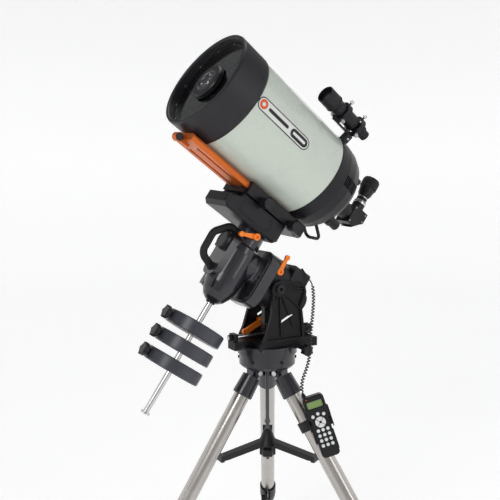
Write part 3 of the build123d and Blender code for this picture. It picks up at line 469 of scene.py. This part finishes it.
def cap_screws(name, spots, where, body, r=4.0, height=3.5, mat=PLATED):
    """Socket-head screws; each spot is a matrix whose Z points out of the surface."""
    bm = bmesh.new()
    for at in spots:
        turned([(-1.0, r), (height - 0.5, r), (height, r - 0.5), (height, r * 0.62), (height, hexagon(r * 1.05)),
                (height * 0.35, hexagon(r * 1.05))], 24, at, bm)
    piece(name, bm, where, body, mat)


# ---------------------------------------------------------------- the cord's two halves
def cord_half(name, points, node):
    """A mesh tube along a stretch of the helix, put in place of a CAD node, which is hidden."""
    curve = nurbs(name + " line", points, WIRE_R * MM)
    curve.data.splines[0].resolution_u = 2
    mesh = meshed(curve)
    mesh.materials.clear()
    mesh.materials.append(WIRE)
    smooth(mesh)
    obj = add(name, mesh)
    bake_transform(obj)
    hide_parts(node)


cord_half("cord_upper_half", helix[:join + 1], "cord_upper")
cord_half("cord_lower_half", helix[join:], "cord_lower")

# ---------------------------------------------------------------- optical tube
TUBE_R = 156.0
PLATE_FRONT = 363.0
PLATE_REAR = -100.0


def wrapped(name, sheets, mats):
    """Thin sheets bent round the tube, each given as its rows of (height, half width, lift) and its material."""
    bm = bmesh.new()
    columns = 8
    for rows, index in sheets:
        grid = []
        for z, half, lift in rows:
            angles = [pi + half * (2 * i / columns - 1) / TUBE_R for i in range(columns + 1)]
            grid.append([bm.verts.new(((TUBE_R + lift) * cos(a), (TUBE_R + lift) * sin(a), z)) for a in angles])
        for low, high in zip(grid, grid[1:]):
            for i in range(columns):
                bm.faces.new((low[i], low[i + 1], high[i + 1], high[i])).material_index = index
    piece(name, bm, TUBE, "ota", mats[0], mats[1:])


def stadium_rows(z0, z1, half, lift, steps=8):
    """Rows of a sheet with round ends, running from z0 to z1."""
    ends = [half * (1 - cos(pi / 2 * i / steps)) for i in range(steps + 1)]
    widths = [max(0.3, sqrt(max(0.0, half ** 2 - (half - e) ** 2))) for e in ends]
    rows = [(z0 + e, width, lift) for e, width in zip(ends, widths)]
    return rows + [(z1 - e, width, lift) for e, width in reversed(list(zip(ends, widths)))]


wrapped("tube_badge", [
    (stadium_rows(84, 304, 20.0, 0.35), 0),
    (stadium_rows(87.2, 300.8, 16.8, 0.50), 1),
    (stadium_rows(91, 164, 13.2, 0.65), 0),
    (stadium_rows(100, 155, 4.2, 0.80), 1),
    (stadium_rows(176, 262, 5.0, 0.65), 0),
    (stadium_rows(269, 297, 14.0, 0.65), 2),
    (stadium_rows(277, 289, 6.0, 0.80), 1)], [GLOSS, BADGE_PALE, BADGE_RED])

retainer = turned([(383.1, 139.0), (385.6, 139.4), (385.6, 145.9), (383.1, 146.2)], 96, ring_on=True)
piece("corrector_retaining_ring", retainer, TUBE, "ota", ANODISED)
cap_screws("retaining_ring_screws", [shift(142.6 * cos(a), 142.6 * sin(a), 385.4)
                                     for a in [pi / 6 * i for i in range(12)]], TUBE, "ota", r=2.2, height=1.4)
cap_screws("front_ring_screws", [Matrix.Rotation(pi / 4 * i + 0.35, 4, "Z") @ shift(158.2, 0, 322, 90, "Y")
                                 for i in range(8)], TUBE, "ota", r=2.6, height=1.0, mat=ANODISED)

holder = turned([(394.2, 36.2), (399.4, 37.4), (400.6, 37.0), (400.6, 33.6), (397.2, 32.6), (396.4, 24), (395.2, 12),
                 (396.4, 11), (398.0, 9.6), (398.0, 3)], 72)
piece("secondary_face", holder, TUBE, "ota", SHADED)
cap_screws("collimation_screws", [shift(21 * cos(a), 21 * sin(a), 396) for a in (0.50, 2.59, 4.69)], TUBE, "ota",
           r=3.4, height=3.6)
lip = turned([(383.3, 56.3), (387.5, 58.8), (389.5, 58.4), (389.5, 55.9)], 72, ring_on=True)
piece("secondary_lip", lip, TUBE, "ota", ANODISED)

joint_band = turned([(304.0, 156.1), (305.6, 157.2), (306.0, 156.1)], 96, ring_on=True)
turned([(-57.4, 156.1), (-56.6, 157.4), (-54.2, 157.2), (-53.6, 156.1)], 96, bm=joint_band, ring_on=True)
piece("tube_end_bands", joint_band, TUBE, "ota", ANODISED)


def vent(turn):
    """Louvred opening on the rear casting's shoulder, drawn as a flat black sheet with bars: the sheet is painted shade
    for the dark inside of the opening.
    """
    bm = bmesh.new()
    profile = [(157.6, -99), (155.9, -110), (153.8, -126), (150.2, -139), (145.5, -152), (141.4, -163)]
    half = 17.0
    rows = []
    for r, z in profile:
        rows.append([bm.verts.new(((r + 0.5) * cos(turn + half * q / r), (r + 0.5) * sin(turn + half * q / r), z))
                     for q in (-1, -0.5, 0, 0.5, 1)])
    for low, high in zip(rows, rows[1:]):
        for i in range(4):
            bm.faces.new((low[i], low[i + 1], high[i + 1], high[i]))
    for i in range(7):
        k = (i + 0.5) / 7 * (len(profile) - 1)
        low, high = profile[int(k)], profile[min(int(k) + 1, len(profile) - 1)]
        part = k % 1
        r = low[0] + (high[0] - low[0]) * part + 0.9
        z = low[1] + (high[1] - low[1]) * part
        at = Matrix.Rotation(turn, 4, "Z") @ Matrix.Translation((r, 0, z)) @ Matrix.Rotation(pi / 2, 4, "X")
        turned([(-half + 1.5, 1.1), (half - 1.5, 1.1)], 8, at, bm, index=1)
    return bm


# each vent's black sheet is painted shade for the inside of the opening
for number, turn in enumerate((radians(-176), radians(-4), radians(-90)), 1):
    piece("rear_vent_%d" % number, vent(turn), TUBE, "ota", BLACK_LINING_AND_PAINTED_SHADE, (ANODISED,))

rear_parts = bmesh.new()
for a in [pi / 3 * i + 0.2 for i in range(6)]:
    turned([(-197.4, 3.6), (-195.8, 4.2)], 20, shift(72 * cos(a), 72 * sin(a), 0), rear_parts)
turned([(-203.8, 45.5), (-201.5, 47.0), (-196.2, 47.5)], 72, bm=rear_parts)
piece("rear_cell_cover_screws", rear_parts, TUBE, "ota", ANODISED)
grip_ring = turned([(-226, lobes(41.2, 1.0, 36)), (-225, lobes(42.0, 1.2, 36)), (-209, lobes(42.0, 1.2, 36)),
                    (-208, lobes(41.2, 1.0, 36))], 216)
piece("visual_back_grip", grip_ring, TUBE, "ota", ANODISED)
for number, (x, y) in enumerate(((62, -84), (-66, -76)), 1):
    bm = turned([(-222, lobes(11, 1.2, 8)), (-220.5, lobes(12, 1.4, 8)), (-206, lobes(12, 1.4, 8)), (-205, 9),
                 (-194, 9)], 64, shift(x, y, 0))
    piece("mirror_lock_knob_%d" % number, bm, TUBE, "ota", PLASTIC)

# ---------------------------------------------------------------- diagonal, eyepiece and finder
bands = bmesh.new()
for z0, z1, r in ((46, 49, 19.1), (30.4, 33.4, 19.0)):
    turned([(z0, r - 0.5), (z0 + 0.5, r), (z1 - 0.5, r), (z1, r - 0.5)], 64, bm=bands)
piece("eyepiece_bands", bands, EYE, "eyepiece", SILVER)
grip = turned([(85, lobes(28.3, 0.9, 30)), (86, lobes(29.9, 1.2, 30)), (94, lobes(30.2, 1.2, 30)),
               (95.5, lobes(29.8, 0.6, 30))], 180)
turned([(97.5, 29.9), (99, 30.6), (110, 30.4), (117, 29.9), (122.5, 26.6), (122.5, 21.2), (117, 19.2)], 96, bm=grip)
piece("eyepiece_grip_and_cup", grip, EYE, "eyepiece", RUBBER)
lens = turned([(113.5, 19.0), (114.6, 12), (114.9, 4)], 64)
piece("eyepiece_lens", lens, EYE, "eyepiece", LENS)
collar = turned([(22.5, 22.4), (23.5, 23.4), (29.0, 23.4), (30.0, 22.4)], 72, shift(0, -30, -325, 90, "X"))
piece("eyepiece_holder_ring", collar, TUBE, "diagonal", SILVER)
cover = slab(rounded(54, 58, 5), 0, 1.6, 0.8, Matrix.Translation((0, 20, -340)) @ Matrix.Rotation(radians(-135), 4, "X")
             @ Matrix.Translation((0, 0, 0.2)))
piece("diagonal_back_plate", cover, TUBE, "diagonal", ANODISED)
cap_screws("diagonal_screws", [shift(s * 31, y, z, s * 90, "Y") for s in (-1, 1) for y, z in ((-24, -298), (26, -298),
           (-24, -350), (2, -350))], TUBE, "diagonal", r=2.6, height=1.2)

finder_lens = turned([(71.0, 26.2), (73.2, 20), (74.4, 10), (74.8, 3)], 72)
piece("finder_objective", finder_lens, FINDER, "ota", LENS)
rubber = turned([(-131.6, 14.8), (-130.6, 16.4), (-120, 16.6), (-113, 15.8)], 72)
turned([(-108.6, lobes(20.6, 0.5, 40)), (-107.6, lobes(21.4, 0.8, 40)), (-98, lobes(21.4, 0.8, 40)),
        (-97, lobes(20.6, 0.5, 40))], 160, bm=rubber)
turned([(34.5, 28.8), (35.5, 29.4), (40, 29.4), (41, 28.8)], 72, bm=rubber)
turned([(-64, 20.6), (-61, 25.0), (-56, 25.0), (-55, 24.6)], 72, bm=rubber)
piece("finder_rings", rubber, FINDER, "ota", RUBBER)
eye_lens = turned([(-132.9, 11.0), (-132.2, 12.2)], 48)
piece("finder_eye_lens", eye_lens, FINDER, "ota", LENS)
heads = bmesh.new()
for z in (-7, -79):
    for turn in (90, 210, 330):
        at = Matrix.Rotation(radians(turn), 4, "Z") @ shift(0, 0, z, 90, "Y")
        turned([(38, lobes(6.2, 0.5, 16)), (38.6, lobes(7.0, 0.7, 16)), (46.5, lobes(7.0, 0.7, 16)), (47.2, 6.0)], 64,
               at, heads)
piece("finder_thumbscrews", heads, FINDER, "ota", SILVER)
cap_screws("finder_foot_screw", [shift(s * 13, -46, -81, s * 90, "Y") for s in (-1, 1)], FINDER, "ota", r=4.0,
           height=3.0)


# ---------------------------------------------------------------- mount's details
def rim(outer, inner, z0, z1, at=None, bm=None):
    """A flat frame between two outlines with the same number of points."""
    bm = bm or bmesh.new()
    at = at or Matrix()
    loops = [[bm.verts.new(at @ Vector((x, y, z))) for x, y in line]
             for line, z in ((outer, z0), (outer, z1), (inner, z1), (inner, z0))]
    n = len(outer)
    for a, b in zip(loops, loops[1:] + loops[:1]):
        for i in range(n):
            bm.faces.new((a[i], a[(i + 1) % n], b[(i + 1) % n], b[i]))
    return bm


def facing(x, y, z, way):
    """A place whose Z points along one of the local frame's own axes."""
    turns = {"+X": (90, "Y"), "-X": (-90, "Y"), "+Y": (-90, "X"), "-Y": (90, "X"), "-Z": (180, "X")}
    turn, about = turns[way]
    return shift(x, y, z, turn, about)


# declination head: a raised cover with four screws on each side, one on the north end
for name, way, x, u in (("west", "-X", -64, 1), ("east", "+X", 64, -1)):
    cover = slab(rounded(126, 42, 8, u * 58, -131), -0.5, 1.4, 0.8, facing(x, 0, 0, way))
    rim(rounded(134, 50, 11, u * 58, -131), rounded(130, 46, 10, u * 58, -131), -0.5, 0.5, facing(x, 0, 0, way), cover)
    piece("head_cover_" + name, cover, DEC, "dec", CASTING)
    corners = [facing(x * 1.018, y, z, way) for z in (4, 112) for y in (-145, -117)]
    cap_screws("head_screws_" + name, corners, DEC, "dec", r=3.2, height=1.2, mat=ANODISED)
north_cover = slab(rounded(92, 22, 4, 0, -123), -0.5, 1.2, 0.6, shift(0, 0, 172))
piece("head_cover_north", north_cover, DEC, "dec", CASTING)
cap_screws("saddle_east_screws", [facing(65, -186, z, "+X") for z in (-112, -40, 40, 112)], DEC, "dec", r=4.5,
           height=3.0, mat=ANODISED)
cap_screws("saddle_bed_screws", [facing(x, -168, z, "+Y") for x in (-38, 38) for z in (-118, 124)], DEC, "dec",
           r=4.0, height=3.0, mat=ANODISED)

# polar cover with four lugs, and the cap on the housing's south end
polar_cap = turned([(69.5, 30.5), (71, 31.6), (74.6, lobes(31.6, 0.8, 36)), (76.2, lobes(30.4, 0.8, 36)), (76.2, 24),
                    (75.2, 22.5)], 144, shift(0, -30, 0))
for turn in (45, 135, 225, 315):
    a = radians(turn)
    turned([(69.5, 5.5), (75, 5.5), (76, 4.5)], 20, shift(31 * cos(a), 31 * sin(a) - 30, 0), polar_cap)
piece("polar_cover", polar_cap, POLAR, "ra", PLASTIC)
south_cap = turned([(-283.5, 32), (-282.5, 35), (-279.5, 36.5)], 72)
turned([(-262, 40.2), (-261, 41.5), (-258, 41.5), (-257.4, 40.0)], 72, bm=south_cap, ring_on=True)
piece("south_cap", south_cap, POLAR, "altitude", PLASTIC)
cap_screws("south_cap_screws", [facing(26 * cos(a), 26 * sin(a), -283.2, "-Z") for a in (0.5, 2.6, 4.7)], POLAR,
           "altitude", r=2.6, height=1.0, mat=ANODISED)

# right ascension gearbox: front cover line and screws; housing: end screws and socket panel
cover_line = rim(rounded(150, 170, 37, 0, 18), rounded(146, 166, 35, 0, 18), -64.5, -63.4)
piece("gearbox_cover_line", cover_line, POLAR, "altitude", ANODISED)
cap_screws("gearbox_screws", [shift(x, y, -64.3) for x, y in ((-62, -50), (62, -50), (-68, 18), (68, 18), (-62, 88),
           (62, 88))], POLAR, "altitude", r=4.2, height=1.8, mat=ANODISED)
cap_screws("gearbox_back_screws", [facing(x, y, -103.8, "-Z") for x, y in ((-74, -30), (74, -30), (-74, 60), (74, 60))],
           POLAR, "altitude", r=4.2, height=3.0, mat=ANODISED)
cap_screws("housing_end_screws", [facing(x, y, -227.8, "-Z") for x in (-48, 48) for y in (-44, 44)], POLAR,
           "altitude", r=4.0, height=2.5, mat=ANODISED)
panel = slab(rounded(34, 46, 4, -196, 2), -0.5, 1.4, 0.6, facing(-66, 0, 0, "-X"))
for y in (-12, 2, 16):
    turned([(1.2, 5.6), (3.4, 5.4), (3.4, 3.9), (1.6, 3.7), (1.6, 1.0), (3.0, 0.8)], 28,
           facing(-66, 0, 0, "-X") @ shift(-196, y, 0), panel)
piece("socket_panel", panel, POLAR, "altitude", PLASTIC)
cap_screws("declination_hub_screws", [facing(x, y, -51.6, "-Z") for x in (-42, 42) for y in (-30, 30)], POLAR, "ra",
           r=3.6, height=3.0, mat=ANODISED)
washer = turned([(151.5, 15), (156.5, 15), (157.5, 13.5), (157.5, 9.7)], 48, shift(0, 0, 0, -90, "X"))
piece("shaft_collar", washer, POLAR, "ra", ANODISED)

# tripod hub and azimuth base: screws and a bubble level
cap_screws("hub_side_screws", [Matrix.Rotation(radians(a), 4, "Z") @ shift(89.8, 0, 26, 90, "Y")
                               for a in (0, 60, 120, 180, 240, 300)], HUB, "tripod", r=5.0, height=4.0, mat=ANODISED)
cap_screws("base_top_screws", [shift(x, y, 90) for x in (-58, 58) for y in (-96, 52)], HUB, "azimuth", r=5.0,
           height=4.0, mat=ANODISED)
level = turned([(89.5, 12.5), (92.4, 12.5), (93.2, 11.6), (93.2, 9.4), (92.0, 9.2), (92.0, 0.6)], 40,
               shift(40, -118, 0))
piece("bubble_level_cup", level, HUB, "azimuth", ANODISED)
vial = turned([(91.5, 9.0), (92.6, 8.0), (93.1, 4.0), (93.2, 1.0)], 40, shift(40, -118, 0))
piece("bubble_level_vial", vial, HUB, "azimuth", VIAL)

# dovetail plate: screws at both ends, lug knob
plate_holes = (PLATE_FRONT - 14, PLATE_FRONT - 40, PLATE_REAR + 14, PLATE_REAR + 36)
cap_screws("dovetail_screws", [facing(x, 181.6, z, "+Y") for x in (-18, 18) for z in plate_holes], TUBE, "ota",
           r=4.6, height=1.6)
lug_knob = turned([(-16.5, lobes(10.5, 1.2, 6)), (-15.0, lobes(12.0, 1.4, 6)), (-11.6, lobes(12.0, 1.4, 6)),
                   (-11.2, 8)], 72, shift(0, 184, 380, 90, "Y"))
piece("dovetail_lug_knob", lug_knob, TUBE, "ota", PLASTIC)

# ---------------------------------------------------------------- hand controller
CASE_FRONT = 13.5
display = slab(rounded(46.5, 20.5, 2.4, 0, 69), 11.3, 12.4, 0.3)
piece("display", display, CASE, "tripod", LCD)
bezel = rim(rounded(55, 32, 6, 0, 70), rounded(47, 21, 2.6, 0, 69), CASE_FRONT - 0.4, CASE_FRONT + 0.7)
piece("display_bezel", bezel, CASE, "tripod", GLOSS)
lamp = turned([(CASE_FRONT + 0.2, 1.8), (CASE_FRONT + 0.9, 1.6), (CASE_FRONT + 1.2, 0.8)], 20,
              shift(-20, 88.5, 0))
piece("display_lamp", lamp, CASE, "tripod", BADGE_RED)
marks = bmesh.new()
for turn in range(4):
    at = Matrix.Translation((0, 14, 0)) @ Matrix.Rotation(pi / 2 * turn, 4, "Z") @ Matrix.Translation((0, 11, 15.6))
    slab([(-2.6, -1.6), (2.6, -1.6), (0, 2.2)], -0.4, 0.12, 0.05, at, marks)
piece("arrow_marks", marks, CASE, "arrow_keys", GLOSS)
grips = slab(rounded(9, 30, 3, 33, 40), -7, 7, 1.0)
slab(rounded(6, 60, 2.6, -31, -20), -5, 5, 1.0, bm=grips)
slab(rounded(6, 60, 2.6, 27.5, -50), -5, 5, 1.0, bm=grips)
piece("controller_side_grips", grips, CASE, "tripod", RUBBER)
relief = bmesh.new()
for y in range(96, 111, 3):
    r = 6.2 - (y - 96) * 0.14
    turned([(y - 1.0, 4.6), (y - 0.4, r), (y + 0.6, r), (y + 1.2, 4.2)], 28, shift(-24, 0, 0, -90, "X"), relief)
piece("controller_cord_relief", relief, CASE, "tripod", RUBBER)
cap_screws("controller_back_screws", [facing(x, y, -CASE_FRONT + 0.2, "-Z") for x in (-21, 21)
                                        for y in (-78, 78)], CASE, "tripod", r=2.4, height=0.8, mat=ANODISED)

# ---------------------------------------------------------------- floor, light
SWEEP = [(0.0, 0.02), (0.0, 3.4), (0.05, 4.1), (0.30, 4.8), (0.85, 5.3), (1.7, 5.55), (3.9, 5.6)]
CEILING = 3.8  # faces above this height close the sweep's top and are taken away
TOWARDS_CAMERA = (-0.866, 0.5, 0.0)


def backdrop_material():
    """Pale paper that glows evenly, with painted shade: the glow is dimmer on the side the camera looks from."""
    mat = surface("pale floor", (0.76, 0.76, 0.76), 0.8, mottle=0.008, grain=90, bump=0.00002, bevel=0.0001,
                  specular=0.15)
    tree, shader = nodes_of(mat)
    where = tree.nodes.new("ShaderNodeTexCoord")
    side = tree.nodes.new("ShaderNodeVectorMath")
    side.operation = "DOT_PRODUCT"
    side.inputs[1].default_value = TOWARDS_CAMERA
    # painted shade: the backdrop's glow drops from 0.46 to 0.06 towards the camera's side
    painted_shade_falloff = tree.nodes.new("ShaderNodeMapRange")
    painted_shade_falloff.inputs["From Min"].default_value = 1.5
    painted_shade_falloff.inputs["From Max"].default_value = 5.0
    painted_shade_falloff.inputs["To Min"].default_value = 0.46
    painted_shade_falloff.inputs["To Max"].default_value = 0.06
    tree.links.new(where.outputs["Object"], side.inputs[0])
    tree.links.new(side.outputs["Value"], painted_shade_falloff.inputs["Value"])
    tree.links.new(painted_shade_falloff.outputs["Result"], shader.inputs["Emission Strength"])
    shader.inputs["Emission Color"].default_value = (1, 1, 1, 1)
    return mat


stage_bm = turned(SWEEP, 96)
lid = [face for face in stage_bm.faces if face.calc_center_median().z > CEILING]
bmesh.ops.delete(stage_bm, geom=lid, context="FACES")
stage_mesh = bpy.data.meshes.new("floor")
stage_bm.to_mesh(stage_mesh)
stage_bm.free()
stage_mesh.materials.append(backdrop_material())
stage_mesh.polygons.foreach_set("use_smooth", [True] * len(stage_mesh.polygons))
add("floor", stage_mesh)

world = bpy.data.worlds.new("studio")
bpy.context.scene.world = world
world.use_nodes = True
background = world.node_tree.nodes["Background"]
background.inputs["Color"].default_value = (0.97, 0.98, 1.0, 1)
background.inputs["Strength"].default_value = 0.22


def softbox(name, at, size, power):
    """Area light aimed at the middle of the mount."""
    light = bpy.data.lights.new(name, "AREA")
    light.shape = "RECTANGLE"
    light.size, light.size_y = size
    light.energy = power
    aim = Vector((0, 0, 1.15)) - Vector(at)
    add(name, light).matrix_world = Matrix.Translation(at) @ aim.to_track_quat("-Z", "Y").to_matrix().to_4x4()


softbox("key", (-2.0, 3.0, 3.2), (1.5, 1.5), 40)
softbox("side strip", (-3.4, -1.4, 1.9), (0.5, 2.4), 15)
softbox("top", (0.6, -0.6, 4.0), (2.2, 2.2), 30)
bpy.context.scene.view_settings.view_transform = "Standard"
